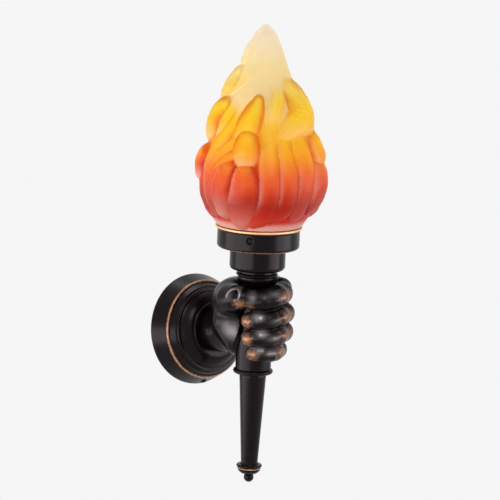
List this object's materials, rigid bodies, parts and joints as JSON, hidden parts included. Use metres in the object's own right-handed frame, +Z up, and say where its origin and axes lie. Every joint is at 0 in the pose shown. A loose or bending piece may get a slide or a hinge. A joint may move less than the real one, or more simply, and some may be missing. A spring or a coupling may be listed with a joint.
{
  "type": "torch wall sconce",
  "caption": "Wall sconce: a cast fist on a stepped round canopy grips a leaning torch whose turned cup holds a flame-shaped glass shade over a lampholder.",
  "frame": {"origin": "on the wall plane at the centre of the canopy and of the wall bracket's two slots", "axes": "+Y into the wall, -Y out into the room, +Z up, +X to the right for someone facing the wall"},
  "size_m": [0.139, 0.1967, 0.4775],
  "materials": {
    "oil_rubbed_bronze": "satin near-black bronze with copper rubbed edges",
    "zinc_plated_steel": "bright zinc",
    "blackened_screw": "black oxide",
    "brass": "satin",
    "terminal_plastic": "matt natural nylon",
    "earth_screw_green": "green",
    "earth_insulation": "green and yellow",
    "live_insulation": "brown",
    "neutral_insulation": "blue",
    "porcelain": "glazed white",
    "lamp_cap_metal": "satin",
    "lamp_glass": "opal white",
    "flame_glass": "satin frosted, ivory at the tip through yellow and orange to red"
  },
  "bodies": {
    "sconce": {"wall_bracket": "zinc_plated_steel", "canopy": "oil_rubbed_bronze", "canopy_screw": "oil_rubbed_bronze", "terminal_block": "terminal_plastic", "terminal_screws": "brass", "block_screw": "zinc_plated_steel", "earth_screw": "earth_screw_green", "earth_tag": "brass", "earth_lead": "earth_insulation", "live_lead": "live_insulation", "neutral_lead": "neutral_insulation", "arm_nipple": "zinc_plated_steel", "arm_washer": "zinc_plated_steel", "arm_nut": "zinc_plated_steel", "fist": "oil_rubbed_bronze", "grip_tube": "oil_rubbed_bronze", "grip_plug": "zinc_plated_steel", "bead_ring": "oil_rubbed_bronze", "torch_shaft": "oil_rubbed_bronze", "shaft_rod": "zinc_plated_steel", "finial_cap": "oil_rubbed_bronze", "finial_ball": "oil_rubbed_bronze", "neck_collar": "oil_rubbed_bronze", "socket_housing": "oil_rubbed_bronze", "gallery_cup": "oil_rubbed_bronze", "socket_nipple": "zinc_plated_steel", "cup_nut": "zinc_plated_steel", "holder_strap": "zinc_plated_steel", "holder_screws": "zinc_plated_steel", "lampholder": "porcelain", "screw_shell": "brass", "centre_contact": "brass", "lamp_cap": "lamp_cap_metal", "lamp_globe": "lamp_glass", "flame_shade": "flame_glass"},
    "shade_screw_1": {"set_screw_1": "blackened_screw"},
    "shade_screw_2": {"set_screw_2": "blackened_screw"},
    "shade_screw_3": {"set_screw_3": "blackened_screw"}
  },
  "joints": [
    {"name": "shade_screw_1_back_out", "type": "slide", "parent": "sconce", "child": "shade_screw_1", "axis": [-0.7771, -0.6207, -0.1039], "range_m": [0, 0.003]},
    {"name": "shade_screw_2_back_out", "type": "slide", "parent": "sconce", "child": "shade_screw_2", "axis": [0.9336, -0.3535, -0.0591], "range_m": [0, 0.003]},
    {"name": "shade_screw_3_back_out", "type": "slide", "parent": "sconce", "child": "shade_screw_3", "axis": [-0.1564, 0.9741, 0.163], "range_m": [0, 0.003]}
  ]
}
